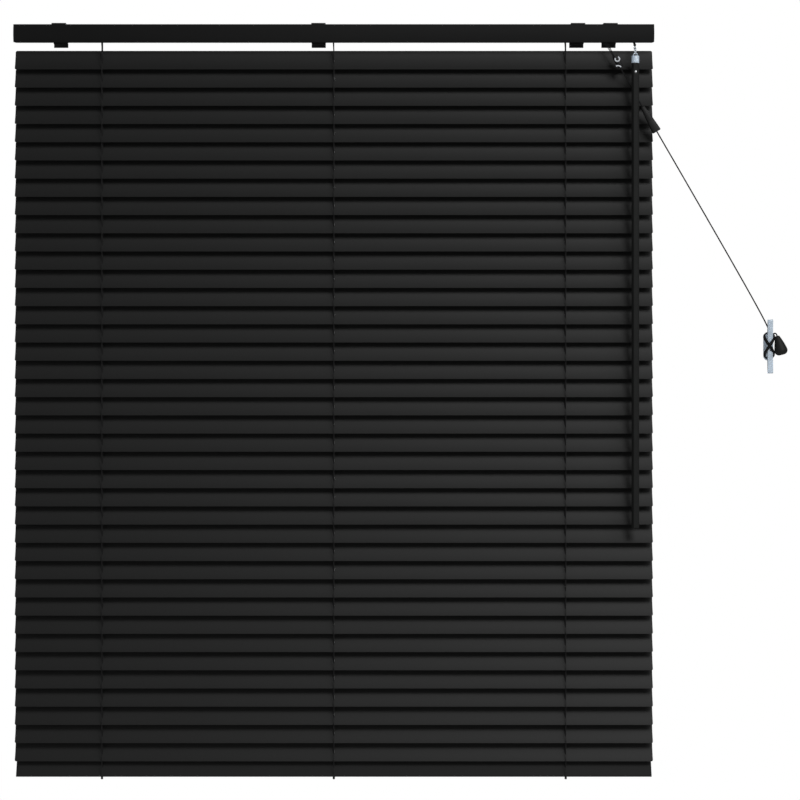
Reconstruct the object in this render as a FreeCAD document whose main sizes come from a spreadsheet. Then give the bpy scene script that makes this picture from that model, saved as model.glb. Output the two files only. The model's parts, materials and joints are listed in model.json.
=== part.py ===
"""A 25 mm aluminium venetian blind, 750 mm wide, hanging closed on four brackets.

Millimetres. X runs to the right, the wall is the plane Y = 0 with the room at negative Y, and Z is up.
The origin is on the wall plane, at the blind's middle and at half the headrail's height.
"""

import FreeCAD, Part
import math
import os

V = FreeCAD.Vector
Rotation = FreeCAD.Rotation
X_AXIS = V(1, 0, 0)
Y_AXIS = V(0, 1, 0)
Z_AXIS = V(0, 0, 1)

doc = FreeCAD.newDocument("VenetianBlind")

# ------------------------------------------------------------------ driving dimensions

DIMENSIONS = [
    ("slat_line", 16.0, "slat axes and ladder centres, out from the wall"),
    ("rail_length", 747.6, "headrail channel, between its end caps"),
    ("rail_depth", 25.0, "headrail, front to back"),
    ("rail_height", 20.2, "headrail front wall below the origin, twice"),
    ("rail_top", 10.9, "headrail's top above the origin"),
    ("rail_wall", 0.8, "headrail sheet"),
    ("rail_bulge", 2.0, "how far the headrail's front bows out"),
    ("rail_rise", 2.4, "how much higher the headrail's floor is at the back"),
    ("rail_lip", 2.5, "width of the turned-in lips at the headrail's mouth"),
    ("cap_thickness", 1.2, "end cap plate"),
    ("bracket_width", 16.7, "mounting bracket"),
    ("bracket_sheet", 1.2, "bracket steel"),
    ("bracket_top", 12.4, "top of the bracket over the headrail's middle"),
    ("bracket_foot", 13.2, "foot of the bracket under the headrail's middle"),
    ("screw_hole", 4.2, "bracket screw holes"),
    ("ladder_spacing", 272.0, "between ladders"),
    ("slat_length", 748.5, "slat"),
    ("slat_width", 25.0, "slat, edge to edge"),
    ("slat_thickness", 0.25, "painted aluminium strip"),
    ("slat_crown", 65.0, "radius of the slat's hollow face"),
    ("slat_pitch", 21.35, "one slat to the next"),
    ("slat_count", 39, "slats"),
    ("slot_length", 7.0, "cord slots, across the slat"),
    ("slot_width", 1.8, "cord slots, along the slat"),
    ("first_drop", 29.7, "first slat's axis below the origin"),
    ("closed_angle", 67.0, "slat tilt when closed, front edge down"),
    ("string_diameter", 0.9, "ladder string"),
    ("string_offset", 1.0, "ladder string's middle, out from the slat's edge"),
    ("bottom_drop", 859.0, "bottom rail's axis below the origin"),
    ("bottom_length", 743.5, "bottom rail tube"),
    ("bottom_width", 24.6, "bottom rail, edge to edge"),
    ("bottom_thickness", 6.0, "bottom rail"),
    ("bottom_cap", 1.0, "bottom rail end cap plate"),
    ("rod_flats", 5.0, "hexagonal tilt rod, across its flats"),
    ("rod_height", 1.2, "tilt rod above the origin"),
    ("rod_left", 330.0, "tilt rod's left end"),
    ("rod_right", 357.0, "tilt rod's right end"),
    ("bore_flats", 5.1, "hexagonal bore on the rod"),
    ("drum_radius", 6.28, "winding face of a tilt drum"),
    ("drum_length", 12.0, "winding face of a tilt drum"),
    ("flange_radius", 7.3, "tilt drum's flanges"),
    ("journal_radius", 3.5, "tilt drum's journals"),
    ("running_gap", 0.05, "radial clearance of a turning fit"),
    ("stem_lean", 60.0, "tilter worm's axis, from straight down towards the room"),
    ("gear_teeth", 12, "teeth of the tilter gear, turned by a one-start worm"),
    ("gear_pitch_radius", 4.2, "tilter gear"),
    ("tilter_x", 351.9, "tilter and wand"),
    ("wand_line", 35.2, "wand's axis, out from the wall"),
    ("ball_line", 29.5, "ball on the stem's end, out from the wall"),
    ("wand_flats", 7.8, "hexagonal wand, across its flats"),
    ("clip_diameter", 9.3, "clip on the wand's top"),
    ("wand_top", 36.0, "wand's top below the origin"),
    ("wand_length", 542.5, "wand"),
    ("lock_x", 318.0, "cord lock"),
    ("cord_diameter", 1.4, "pull cord"),
    ("cleat_x", 512.5, "cleat"),
    ("cleat_drop", 366.0, "cleat's middle below the origin"),
    ("tassel_radius", 7.7, "tassel at its widest"),
    ("tassel_height", 23.0, "tassel"),
    ("tassel_lean", 14.5, "how far the tassel leans, its foot away from the cleat"),
]

sheet = doc.addObject("Spreadsheet::Sheet", "Dimensions")
for row, (alias, value, note) in enumerate(DIMENSIONS, start=1):
    sheet.set(f"A{row}", note)
    sheet.set(f"B{row}", str(value))
    sheet.setAlias(f"B{row}", alias)
doc.recompute()


def dim(alias):
    """The value of one cell of the sheet."""
    return float(sheet.get(alias))


def bind(thing, **formulas):
    """Binds properties of an object to formulas of the sheet's aliases, each written as @alias."""
    for prop, formula in formulas.items():
        thing.setExpression(prop.replace("__", "."), formula.replace("@", "Dimensions."))
    return thing


LINE_Y = -dim("slat_line")
HALF_RAIL = dim("rail_height") / 2
RAIL_TOP = dim("rail_top")
BOW_Z = (RAIL_TOP - HALF_RAIL) / 2
LADDERS = [-dim("ladder_spacing"), 0.0, dim("ladder_spacing")]
CLOSED = math.radians(dim("closed_angle"))

# ------------------------------------------------------------------ building blocks


def path(start, *steps):
    """Closed outline in a sketch plane: each step is a line's end, or (point on arc, end of arc)."""
    edges = []
    here = start
    for step in steps + (start,):
        if isinstance(step[0], tuple):
            middle, there = step
            edges.append(Part.Arc(V(*here, 0), V(*middle, 0), V(*there, 0)))
        elif step != here:
            there = step
            edges.append(Part.LineSegment(V(*here, 0), V(*there, 0)))
        here = there
    return edges


def oval(half_width, half_height, x=0.0):
    """Upright outline with round ends, about a point of the sketch's first axis."""
    straight = half_height - half_width
    return path(
        (x + half_width, -straight),
        (x + half_width, straight),
        ((x, half_height), (x - half_width, straight)),
        (x - half_width, -straight),
        ((x, -half_height), (x + half_width, -straight)),
    )


def rectangle(left, low, right, high):
    return path((left, low), (right, low), (right, high), (left, high))


def polygon(sides, flats, turned=0.0):
    """Regular polygon about the sketch's origin, of this size across its flats."""
    corner = flats / 2 / math.cos(math.pi / sides)
    angles = [turned + 2 * math.pi * k / sides for k in range(sides)]
    return path(*[(corner * math.cos(a), corner * math.sin(a)) for a in angles])


def circle(x, y, radius):
    return [Part.Circle(V(x, y, 0), Z_AXIS, radius)]


def new_body(label):
    return doc.addObject("PartDesign::Body", label)


def sketch_on(body, role, *outlines):
    """A sketch on one of the body's own origin planes."""
    plane = next(f for f in body.Origin.OriginFeatures if f.Role == role)
    sketch = body.newObject("Sketcher::SketchObject", body.Label + "_outline")
    sketch.AttachmentSupport = (plane, "")
    sketch.MapMode = "FlatFace"
    for outline in outlines:
        sketch.addGeometry(outline, False)
    return sketch


def pad(body, role, length, *outlines, side="Symmetric", backwards=False):
    """Pads outlines by a length given as a formula."""
    feature = body.newObject("PartDesign::Pad", body.Label + "_pad")
    feature.Profile = sketch_on(body, role, *outlines)
    feature.SideType = side
    feature.Reversed = backwards
    bind(feature, Length=length)
    return feature


def pocket(body, role, *outlines, backwards=False):
    """Cuts outlines right through, on one side of their plane."""
    feature = body.newObject("PartDesign::Pocket", body.Label + "_cut")
    feature.Profile = sketch_on(body, role, *outlines)
    feature.Type = "ThroughAll"
    feature.Reversed = backwards
    return feature


def turned(body, outline):
    """Solid of revolution of an outline about the body's upright axis."""
    feature = body.newObject("PartDesign::Revolution", body.Label + "_turning")
    sketch = sketch_on(body, "XZ_Plane", outline)
    feature.Profile = sketch
    feature.ReferenceAxis = (sketch, ["V_Axis"])
    feature.Angle = 360
    return feature


def cylinder(radius, height, base, axis=X_AXIS):
    """Part cylinder from a base point along an axis. Radius and height are formulas."""
    rod = doc.addObject("Part::Cylinder", "cylinder")
    bind(rod, Radius=radius, Height=height)
    rod.Placement = FreeCAD.Placement(base, Rotation(Z_AXIS, axis))
    return rod


def block(low, high):
    """Part box between two corners."""
    box = doc.addObject("Part::Box", "block")
    box.Length = high.x - low.x
    box.Width = high.y - low.y
    box.Height = high.z - low.z
    box.Placement.Base = low
    return box


def fused(label, shapes):
    fusion = doc.addObject("Part::MultiFuse", label)
    fusion.Shapes = shapes
    fusion.Refine = True
    return fusion


def cut(label, base, tools):
    cutting = doc.addObject("Part::Cut", label)
    cutting.Base = base
    cutting.Tool = tools[0] if len(tools) == 1 else fused(label + "_tools", tools)
    return cutting


def group(label, members):
    compound = doc.addObject("Part::Compound", label)
    compound.Links = members
    return compound


def repeated(label, source, places):
    """The same piece at several X positions, as separate solids of one sub-part."""
    links = []
    for x in places:
        link = doc.addObject("App::Link", label + "_piece")
        link.LinkedObject = source
        link.Placement = FreeCAD.Placement(V(x, 0, 0), Rotation()) * source.Placement
        links.append(link)
    return group(label, links)


def half_turned(y, z):
    """A point of the slat's flat section, turned about its axis to where it stands when closed."""
    return (
        y * math.cos(CLOSED) - z * math.sin(CLOSED),
        y * math.sin(CLOSED) + z * math.cos(CLOSED),
    )


# ------------------------------------------------------------------ headrail and its brackets

FRONT_Y = LINE_Y - dim("rail_depth") / 2
EDGE_Y = FRONT_Y + dim("rail_bulge")
REAR_Y = LINE_Y + dim("rail_depth") / 2
WALL = dim("rail_wall")
FLOOR_SLOPE = dim("rail_rise") / (REAR_Y - EDGE_Y)
FLOOR_GAP = 0.15


def floor_z(y):
    """Top of the headrail's sloping floor."""
    return -HALF_RAIL + WALL + (y - EDGE_Y) * FLOOR_SLOPE


def rail_outline():
    """Outside of the headrail, its mouth closed."""
    return path(
        (EDGE_Y, -HALF_RAIL),
        ((FRONT_Y, BOW_Z), (EDGE_Y, RAIL_TOP)),
        (REAR_Y, RAIL_TOP),
        (REAR_Y, floor_z(REAR_Y) - WALL),
    )


def headrail():
    """Channel with a bowed front, a sloping floor and two turned-in lips along its open top."""
    body = new_body("headrail")
    lip = dim("rail_lip")
    inner_top = RAIL_TOP - WALL
    inner_edge = EDGE_Y + WALL * 0.8
    inner_rear = REAR_Y - WALL
    section = path(
        (EDGE_Y, -HALF_RAIL),
        ((FRONT_Y, BOW_Z), (EDGE_Y, RAIL_TOP)),
        (EDGE_Y + lip, RAIL_TOP),
        (EDGE_Y + lip, inner_top),
        (inner_edge, inner_top),
        ((FRONT_Y + WALL, BOW_Z), (inner_edge, floor_z(inner_edge))),
        (inner_rear, floor_z(inner_rear)),
        (inner_rear, inner_top),
        (REAR_Y - lip, inner_top),
        (REAR_Y - lip, RAIL_TOP),
        (REAR_Y, RAIL_TOP),
        (REAR_Y, floor_z(REAR_Y) - WALL),
    )
    pad(body, "YZ_Plane", "@rail_length", section)
    lock_x = dim("lock_x")
    tilter_x = dim("tilter_x")
    openings = [rectangle(x - 6.0, LINE_Y - 7.0, x + 6.0, LINE_Y + 7.0) for x in LADDERS]
    openings.append(rectangle(lock_x - 3.5, EDGE_Y + 0.9, lock_x + 3.5, EDGE_Y + 6.0))
    openings.append(rectangle(tilter_x - 4.5, EDGE_Y + 0.5, tilter_x + 4.5, EDGE_Y + 14.0))
    pocket(body, "XY_Plane", *openings)


def headrail_end_caps():
    """Plate over each end of the channel, with a plug inside it."""
    body = new_body("right_end_cap")
    pad(body, "YZ_Plane", "@cap_thickness", rail_outline(), side="One side")
    plug = rectangle(EDGE_Y + 2.5, floor_z(REAR_Y) + 0.5, REAR_Y - 1.5, RAIL_TOP - 1.5)
    pad(body, "YZ_Plane", "5", plug, side="One side", backwards=True)
    bind(body, Placement__Base__x="@rail_length / 2")
    mirror = doc.addObject("Part::Mirroring", "left_end_cap")
    mirror.Source = body
    mirror.Normal = X_AXIS
    group("headrail_end_caps", [body, mirror])


BRACKET_PLACES = [-322.0, -18.0, 286.0, 324.0]


def mounting_brackets():
    """Folded steel: a wall plate, an arm over the headrail to its front lip, and a ledge under its back."""
    body = new_body("mounting_bracket")
    sheet_t = dim("bracket_sheet")
    top = dim("bracket_top")
    arm = top - sheet_t
    hook_y = EDGE_Y + dim("rail_lip") + 0.3
    hook_low = RAIL_TOP - WALL - 0.4 - sheet_t
    ledge = floor_z(REAR_Y - 2.5) - WALL - 0.15
    section = path(
        (0.0, top),
        (EDGE_Y, top),
        (EDGE_Y, RAIL_TOP + 0.1),
        (EDGE_Y + sheet_t, RAIL_TOP + 0.1),
        (EDGE_Y + sheet_t, arm),
        (hook_y, arm),
        (hook_y, hook_low + sheet_t),
        (EDGE_Y + 1.4, hook_low + sheet_t),
        (EDGE_Y + 1.4, hook_low),
        (hook_y + sheet_t, hook_low),
        (hook_y + sheet_t, arm),
        (-sheet_t, arm),
        (-sheet_t, ledge),
        (REAR_Y - 2.5, ledge),
        (REAR_Y - 2.5, ledge - sheet_t),
        (-sheet_t, ledge - sheet_t),
        (-sheet_t, -dim("bracket_foot")),
        (0.0, -dim("bracket_foot")),
    )
    pad(body, "YZ_Plane", "@bracket_width", section)
    radius = dim("screw_hole") / 2
    pocket(body, "XY_Plane", circle(0, -10.0, radius), circle(0, -19.0, radius), backwards=True)
    pocket(body, "XZ_Plane", circle(0, -3.5, radius), circle(0, 5.5, radius), backwards=True)
    repeated("mounting_brackets", body, BRACKET_PLACES)


# ------------------------------------------------------------------ tilt mechanism

ROD = V(0, LINE_Y, dim("rod_height"))
ROD_HEX = math.radians(30)


def tilt_rod():
    body = new_body("tilt_rod")
    pad(body, "YZ_Plane", "@rod_left + @rod_right", polygon(6, dim("rod_flats"), ROD_HEX), side="One side")
    bind(body, Placement__Base__x="-@rod_left", Placement__Base__y="-@slat_line",
         Placement__Base__z="@rod_height")


def hex_tool(length, x):
    """Prism that cuts the rod's bore."""
    body = new_body("bore_tool")
    pad(body, "YZ_Plane", str(length), polygon(6, dim("bore_flats"), ROD_HEX))
    body.Placement.Base = ROD + V(x, 0, 0)
    return body


def tilt_drums():
    """Spools that wind the ladders, one over each, keyed on the rod."""
    half = dim("drum_length") / 2
    spool = fused(
        "drum_spool",
        [
            cylinder("@drum_radius", "@drum_length", ROD - V(half, 0, 0)),
            cylinder("@flange_radius", "1", ROD - V(half + 1, 0, 0)),
            cylinder("@flange_radius", "1", ROD + V(half, 0, 0)),
            cylinder("@journal_radius", "@drum_length + 9", ROD - V(half + 4.5, 0, 0)),
        ],
    )
    drum = cut("tilt_drum", spool, [hex_tool(dim("drum_length") + 12, 0)])
    repeated("tilt_drums", drum, LADDERS)


def seat_outline(front, rear, top):
    """Section of a block that stands on the headrail's floor."""
    return path(
        (front, floor_z(front) + FLOOR_GAP),
        (rear, floor_z(rear) + FLOOR_GAP),
        (rear, top),
        (front, top),
    )


def drum_cradles():
    """Plastic cradles: two cheeks with open bearings for the drum's journals, on a base with a cord gap."""
    body = new_body("cradle_block")
    pad(body, "YZ_Plane", "@drum_length + 8.4", seat_outline(LINE_Y - 7.4, LINE_Y + 7.4, 3.2))
    bearing = dim("journal_radius") + dim("running_gap")
    cheek = dim("drum_length") / 2 + 1.6
    drum_low = dim("rod_height") - dim("flange_radius") - 0.4
    tools = [
        cylinder("@journal_radius + @running_gap", "@drum_length + 20", ROD - V(16, 0, 0)),
        block(V(-16, LINE_Y - bearing, ROD.z), V(16, LINE_Y + bearing, 8)),
        block(V(-cheek, LINE_Y - 9, drum_low), V(cheek, LINE_Y + 9, 8)),
        block(V(-4.5, LINE_Y - 6.2, -12), V(4.5, LINE_Y + 6.2, 0)),
    ]
    repeated("drum_cradles", cut("drum_cradle", body, tools), LADDERS)


LEAN = math.radians(dim("stem_lean"))
STEM = V(0, -math.sin(LEAN), -math.cos(LEAN))
TO_WORM = V(0, math.cos(LEAN), -math.sin(LEAN))
WORM_DISTANCE = 6.386
TILTER_ROD = ROD + V(dim("tilter_x"), 0, 0)
WORM = TILTER_ROD + TO_WORM * WORM_DISTANCE
BALL_REACH = (dim("ball_line") + WORM.y) / math.sin(LEAN)
BALL = WORM + STEM * BALL_REACH
TOOTH_PITCH = 2 * math.pi * dim("gear_pitch_radius") / dim("gear_teeth")
WORM_TIP = WORM_DISTANCE - dim("gear_pitch_radius") + 0.65
WORM_ROOT = WORM_TIP - 1.45
WORM_HALF = 5.6
STEM_RADIUS = 1.3
END_JOURNAL = 1.2
BALL_RADIUS = 1.6


def along_stem(radius, start, end):
    """Cylinder on the worm's axis, from start to end measured down the stem."""
    return cylinder(str(radius), str(end - start), WORM + STEM * start, STEM)


def tilter_housing():
    """Block that holds the gear and the worm, with a nose round the stem."""
    body = new_body("tilter_block")
    pad(body, "YZ_Plane", "15", seat_outline(LINE_Y - 8.0, LINE_Y + 10.5, 8.8))
    bind(body, Placement__Base__x="@tilter_x")
    shell = fused("tilter_shell", [body, along_stem(1.9, 5.0, 10.0)])
    gap = dim("running_gap")
    tools = [
        cylinder("@gear_pitch_radius + 1.1", "6", TILTER_ROD - V(3, 0, 0)),
        cylinder("@rod_flats * 0.62", "40", TILTER_ROD - V(20, 0, 0)),
        along_stem(WORM_TIP + 0.3, -WORM_HALF - 0.2, WORM_HALF + 0.2),
        along_stem(END_JOURNAL + gap, -WORM_HALF - 2.6, 0),
        along_stem(STEM_RADIUS + gap, 0, 12),
    ]
    cut("tilter_housing", shell, tools)


def worm_thread():
    """One-start thread whose crest faces the gear's gap."""
    start = -2.25 * TOOTH_PITCH
    helix = Part.makeHelix(TOOTH_PITCH, 4.5 * TOOTH_PITCH, WORM_ROOT - 0.15)
    root = WORM_ROOT - 0.25
    corners = [V(root, 0, -0.55), V(WORM_TIP, 0, -0.2), V(WORM_TIP, 0, 0.2), V(root, 0, 0.55)]
    section = Part.makePolygon(corners + corners[:1])
    sweep = Part.Wire(helix).makePipeShell([section], True, True)
    thread = doc.addObject("Part::Feature", "worm_thread")
    thread.Shape = sweep if sweep.ShapeType == "Solid" else Part.Solid(sweep)
    thread.Placement = FreeCAD.Placement(WORM + STEM * start, Rotation(X_AXIS, -TO_WORM, STEM, "ZXY"))
    return thread


def tilter_worm():
    """Worm, its stem and the ball that the wand hangs from, in one piece."""
    ball = doc.addObject("Part::Sphere", "stem_ball")
    ball.Radius = BALL_RADIUS
    ball.Placement.Base = BALL
    pieces = [
        worm_thread(),
        along_stem(WORM_ROOT, -WORM_HALF, WORM_HALF),
        along_stem(END_JOURNAL, -WORM_HALF - 2.4, 0),
        along_stem(STEM_RADIUS, 0, BALL_REACH - 0.4),
        ball,
    ]
    fused("tilter_worm", pieces)


def tilter_gear():
    """Twelve straight teeth, with a gap facing the worm."""
    teeth = int(dim("gear_teeth"))
    pitch_radius = dim("gear_pitch_radius")
    root = pitch_radius - 0.8
    tip = pitch_radius + 0.65
    toward_worm = math.atan2(TO_WORM.z, TO_WORM.y)
    corners = []
    for k in range(teeth):
        middle = toward_worm + 2 * math.pi * (k + 0.5) / teeth
        for radius, half in ((root, -0.55), (tip, -0.2), (tip, 0.2), (root, 0.55)):
            angle = middle + half / radius
            corners.append((radius * math.cos(angle), radius * math.sin(angle)))
    body = new_body("tilter_gear")
    pad(body, "YZ_Plane", "2.6", path(*corners), polygon(6, dim("bore_flats"), ROD_HEX))
    body.Placement.Base = TILTER_ROD


# ------------------------------------------------------------------ wand

CLIP_TOP = -24.2
CLIP_BOTTOM = -dim("wand_top") + 0.1
WIRE_RADIUS = 1.05


def rounded_run(points, radii):
    """Wire of straight runs joined by tangent arcs of the given radii, one for each inner point."""
    edges = []
    here = points[0]
    for before, corner, after, radius in zip(points, points[1:], points[2:], radii):
        come = (corner - before).normalize()
        go = (after - corner).normalize()
        turn = come.getAngle(go)
        back = radius * math.tan(turn / 2)
        start = corner - come * back
        end = corner + go * back
        inward = (go - come).normalize()
        centre = corner + inward * (radius / math.cos(turn / 2))
        middle = centre - inward * radius
        edges.append(Part.LineSegment(here, start).toShape())
        edges.append(Part.Arc(start, middle, end).toShape())
        here = end
    edges.append(Part.LineSegment(here, points[-1]).toShape())
    return Part.Wire(edges)


def tube(wire, radius):
    """Round bar along a wire of runs and arcs."""
    edge = wire.Edges[0]
    start = edge.valueAt(edge.FirstParameter)
    direction = edge.tangentAt(edge.FirstParameter)
    section = Part.Wire(Part.makeCircle(radius, start, direction))
    return wire.makePipeShell([section], True, False)


def wand_connector():
    """Bent steel wire under the stem's ball, held in a clear clip on the wand's top."""
    x = dim("tilter_x")
    step = BALL.z - BALL_RADIUS - 2.6
    route = [
        V(x, BALL.y, BALL.z - BALL_RADIUS - 0.3),
        V(x, BALL.y, step),
        V(x, -dim("wand_line"), step),
        V(x, -dim("wand_line"), CLIP_TOP),
    ]
    wire = doc.addObject("Part::Feature", "connector_wire")
    wire.Shape = tube(rounded_run(route, [1.6, 1.6]), WIRE_RADIUS)
    body = new_body("connector_clip")
    half = dim("clip_diameter") / 2
    section = path(
        (0.0, CLIP_BOTTOM),
        (half, CLIP_BOTTOM),
        (half, CLIP_TOP - 3.6),
        ((half - 0.7, CLIP_TOP - 1.9), (half - 2.8, CLIP_TOP)),
        (0.0, CLIP_TOP),
    )
    turned(body, section)
    bind(body, Placement__Base__x="@tilter_x", Placement__Base__y="-@wand_line")
    group("wand_connector", [wire, body])


def wand():
    """Hexagonal bar, one flat towards the room."""
    body = new_body("wand")
    section = polygon(6, dim("wand_flats"))
    pad(body, "XY_Plane", "@wand_length", section, side="One side", backwards=True)
    bind(body, Placement__Base__x="@tilter_x", Placement__Base__y="-@wand_line",
         Placement__Base__z="-@wand_top")


# ------------------------------------------------------------------ slats, ladders and bottom rail


def slat(number):
    """Curved strip with three cord slots, hollow side up when open. Its axis is midway between its edges."""
    body = new_body(f"slat_{number:02d}")
    half = dim("slat_width") / 2
    crown = dim("slat_crown")
    thick = dim("slat_thickness")
    centre = math.sqrt(crown**2 - half**2)
    grown = (crown + thick) / crown
    edge_y = half * grown
    edge_z = centre - centre * grown
    section = path(
        (-half, 0.0),
        ((0.0, centre - crown), (half, 0.0)),
        (edge_y, edge_z),
        ((0.0, centre - crown - thick), (-edge_y, edge_z)),
    )
    pad(body, "YZ_Plane", "@slat_length", section)
    slots = [oval(dim("slot_width") / 2, dim("slot_length") / 2, x) for x in LADDERS]
    pocket(body, "XY_Plane", *slots)
    body.Placement.Rotation = Rotation(X_AXIS, dim("closed_angle"))
    bind(
        body,
        Placement__Base__y="-@slat_line",
        Placement__Base__z=f"-@first_drop - {number - 1} * @slat_pitch",
    )


def ladder_strings(label, side, top, bottom):
    """Vertical strings along the slats' front edges (side -1) or back edges (side 1)."""
    edge = dim("slat_width") / 2 * math.cos(CLOSED) + dim("string_offset")
    strings = [
        cylinder("@string_diameter / 2", str(top - bottom), V(x, LINE_Y + side * edge, bottom), Z_AXIS)
        for x in LADDERS
    ]
    group(label, strings)


def bottom_outline():
    """Section of the bottom rail, lying flat, its slightly hollow top on the slat's edge line."""
    half = dim("bottom_width") / 2
    deep = dim("bottom_thickness")
    return path(
        (-half, -1.4),
        ((-half + 0.3, -0.4), (-half + 1.2, 0.0)),
        ((0.0, -0.35), (half - 1.2, 0.0)),
        ((half - 0.3, -0.4), (half, -1.4)),
        (half - 1.6, -deep + 1.0),
        ((half - 2.1, -deep + 0.3), (half - 3.0, -deep)),
        (-half + 3.0, -deep),
        ((-half + 2.1, -deep + 0.3), (-half + 1.6, -deep + 1.0)),
    )


def place_bottom(body, x=0.0):
    body.Placement = FreeCAD.Placement(
        V(x, LINE_Y, -dim("bottom_drop")), Rotation(X_AXIS, dim("closed_angle"))
    )


def bottom_rail():
    """Rolled steel tube, tilted like the slats."""
    body = new_body("bottom_rail")
    half = dim("bottom_width") / 2
    deep = dim("bottom_thickness")
    hollow = path(
        (-half + 1.3, -1.2),
        ((0.0, -1.5), (half - 1.3, -1.2)),
        (half - 2.7, -deep + 0.9),
        (-half + 2.7, -deep + 0.9),
    )
    pad(body, "YZ_Plane", "@bottom_length", bottom_outline(), hollow)
    place_bottom(body)


def bottom_rail_caps():
    """End plates, and the plug that holds the ladder's end under each ladder."""
    pieces = []
    for side in (-1, 1):
        body = new_body("bottom_cap")
        pad(body, "YZ_Plane", "@bottom_cap", bottom_outline(), side="One side", backwards=side < 0)
        place_bottom(body, side * dim("bottom_length") / 2)
        pieces.append(body)
    front_y, front_z = half_turned(-dim("bottom_width") / 2 + 0.4, -1.6)
    for x in LADDERS:
        top = V(x, LINE_Y + front_y, -dim("bottom_drop") + front_z + 1.2)
        pieces.append(cylinder("1.3", "4.3", top, V(0, 0, -1)))
    group("bottom_rail_caps", pieces)


# ------------------------------------------------------------------ cord lock, pull cord, cleat and tassel


def cord_lock():
    """Block that the rod passes through, with a chute for the cords and the roller that grips them."""
    body = new_body("lock_block")
    pad(body, "YZ_Plane", "14", seat_outline(EDGE_Y + 1.4, LINE_Y + 8.0, 7.5))
    bind(body, Placement__Base__x="@lock_x")
    x = dim("lock_x")
    centre = V(x, LINE_Y, ROD.z)
    tools = [
        cylinder("@rod_flats * 0.66", "30", centre - V(15, 0, 0)),
        block(V(x - 3.4, EDGE_Y + 0.5, -12), V(x + 3.4, EDGE_Y + 6.0, 5.5)),
    ]
    roller = cylinder("1.7", "5.6", V(x - 2.8, EDGE_Y + 4.1, -1.5))
    group("cord_lock", [cut("lock_body", body, tools), roller])


CORD_EXIT = V(dim("lock_x"), -24.6, -9.5)
UPPER_ROUTE = [CORD_EXIT, V(325.9, -30.2, -24.4), V(361.0, -29.6, -86.8)]
LOWER_ROUTE = [V(377.4, -32.0, -115.3), V(445.0, -21.0, -228.5), V(509.6, -9.5, -348.0)]
EQUALIZER_TOP = V(360.6, -32.0, -86.4)
EQUALIZER_FOOT = LOWER_ROUTE[0]


def corner_radii(points):
    """Each inner point's arc: 0.45 of its shorter run, divided by the tangent of half the turn."""
    radii = []
    for before, corner, after in zip(points, points[1:], points[2:]):
        come = corner - before
        go = after - corner
        turn = come.getAngle(go)
        radii.append(0.45 * min(come.Length, go.Length) / math.tan(turn / 2))
    return radii


def pull_cord():
    """The cords from the lock to the equalizer, and the single taut cord from there to the cleat."""
    radius = dim("cord_diameter") / 2
    pieces = []
    for name, route in (("upper_cord", UPPER_ROUTE), ("lower_cord", LOWER_ROUTE)):
        radii = corner_radii(route)
        wire = rounded_run(route, radii)
        cord = doc.addObject("Part::Feature", name)
        cord.Shape = tube(wire, radius)
        expected = math.pi * radius**2 * wire.Length
        print(name, "radii", [round(r) for r in radii], "length", round(wire.Length, 1))
        print(name, "volume over section times length", round(cord.Shape.Volume / expected, 4))
        pieces.append(cord)
    group("pull_cord", pieces)


def equalizer():
    """Tapered toggle that joins the lift cords to the pull cord, flattened front and back."""
    run = EQUALIZER_FOOT - EQUALIZER_TOP
    cone = doc.addObject("Part::Cone", "equalizer_cone")
    cone.Radius1 = 2.6
    cone.Radius2 = 4.9
    cone.Height = run.Length
    cone.Placement = FreeCAD.Placement(EQUALIZER_TOP, Rotation(Z_AXIS, run))
    slab = block(V(340, -35.1, -130), V(400, -28.9, -70))
    common = doc.addObject("Part::MultiCommon", "equalizer")
    common.Shapes = [cone, slab]


def cleat():
    """Clear cleat: an oval base on the wall, a post, and a bar whose two horns lean out."""
    body = new_body("cleat")
    pad(body, "XZ_Plane", "3", oval(5.7, 16.3), side="One side")
    pad(body, "XZ_Plane", "14", rectangle(-2.6, -8.5, 2.6, 8.5), side="One side")
    horn = path(
        (-12.5, 0.0),
        (-12.5, 9.0),
        ((-13.1, 20.0), (-15.2, 30.6)),
        ((-17.4, 31.6), (-18.6, 29.8)),
        ((-17.2, 15.0), (-17.0, 0.0)),
        ((-17.2, -15.0), (-18.6, -29.8)),
        ((-17.4, -31.6), (-15.2, -30.6)),
        ((-13.1, -20.0), (-12.5, -9.0)),
    )
    pad(body, "YZ_Plane", "6.1", horn)
    pocket(body, "XZ_Plane", circle(0, -4.5, 1.6), circle(0, 4.5, 1.6), backwards=True)
    bind(body, Placement__Base__x="@cleat_x", Placement__Base__z="-@cleat_drop")


def drop(label, foot, *outline_inside, grown=0.0):
    """The tassel's drop shape, leaning, with its outside grown by a clearance."""
    body = new_body(label)
    wide = dim("tassel_radius") + grown
    low = -dim("tassel_height") - grown
    section = path(
        (foot, low),
        ((wide - 1.2, low + 1.8), (wide, low + 5.6)),
        ((4.9 + grown, -7.4), (2.2 + grown, grown)),
        *outline_inside,
    )
    turned(body, section)
    lean = Rotation(Y_AXIS, -dim("tassel_lean"))
    body.Placement = FreeCAD.Placement(V(520.1, -19.0, -353.6), lean)
    return body


def tassel():
    """Drop-shaped pull with a hole for the cord and a hollow foot for its knot."""
    drop("tassel", 3.4, (1.0, 0.0), (1.0, -12.0), (3.4, -12.0))


def cleat_winding():
    """Outer shape of the cord wound in figures of eight over the cleat's bar and behind its horns."""
    x = dim("cleat_x")
    z = -dim("cleat_drop")
    behind = -5.2
    body = new_body("winding_block")
    pad(body, "XZ_Plane", "15.2", oval(6.3, 16.0), side="One side")
    body.Placement.Base = V(x, behind, z)
    tools = [
        block(V(x - 3.3, -19.0, z - 40), V(x + 3.3, -12.2, z + 40)),
        block(V(x - 2.9, -13.0, z - 8.8), V(x + 2.9, 0.0, z + 8.8)),
        drop("tassel_room", 0.0, (0.0, 0.5), grown=0.5),
    ]
    cut("cleat_winding", body, tools)


# ------------------------------------------------------------------ build, check and write

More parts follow.
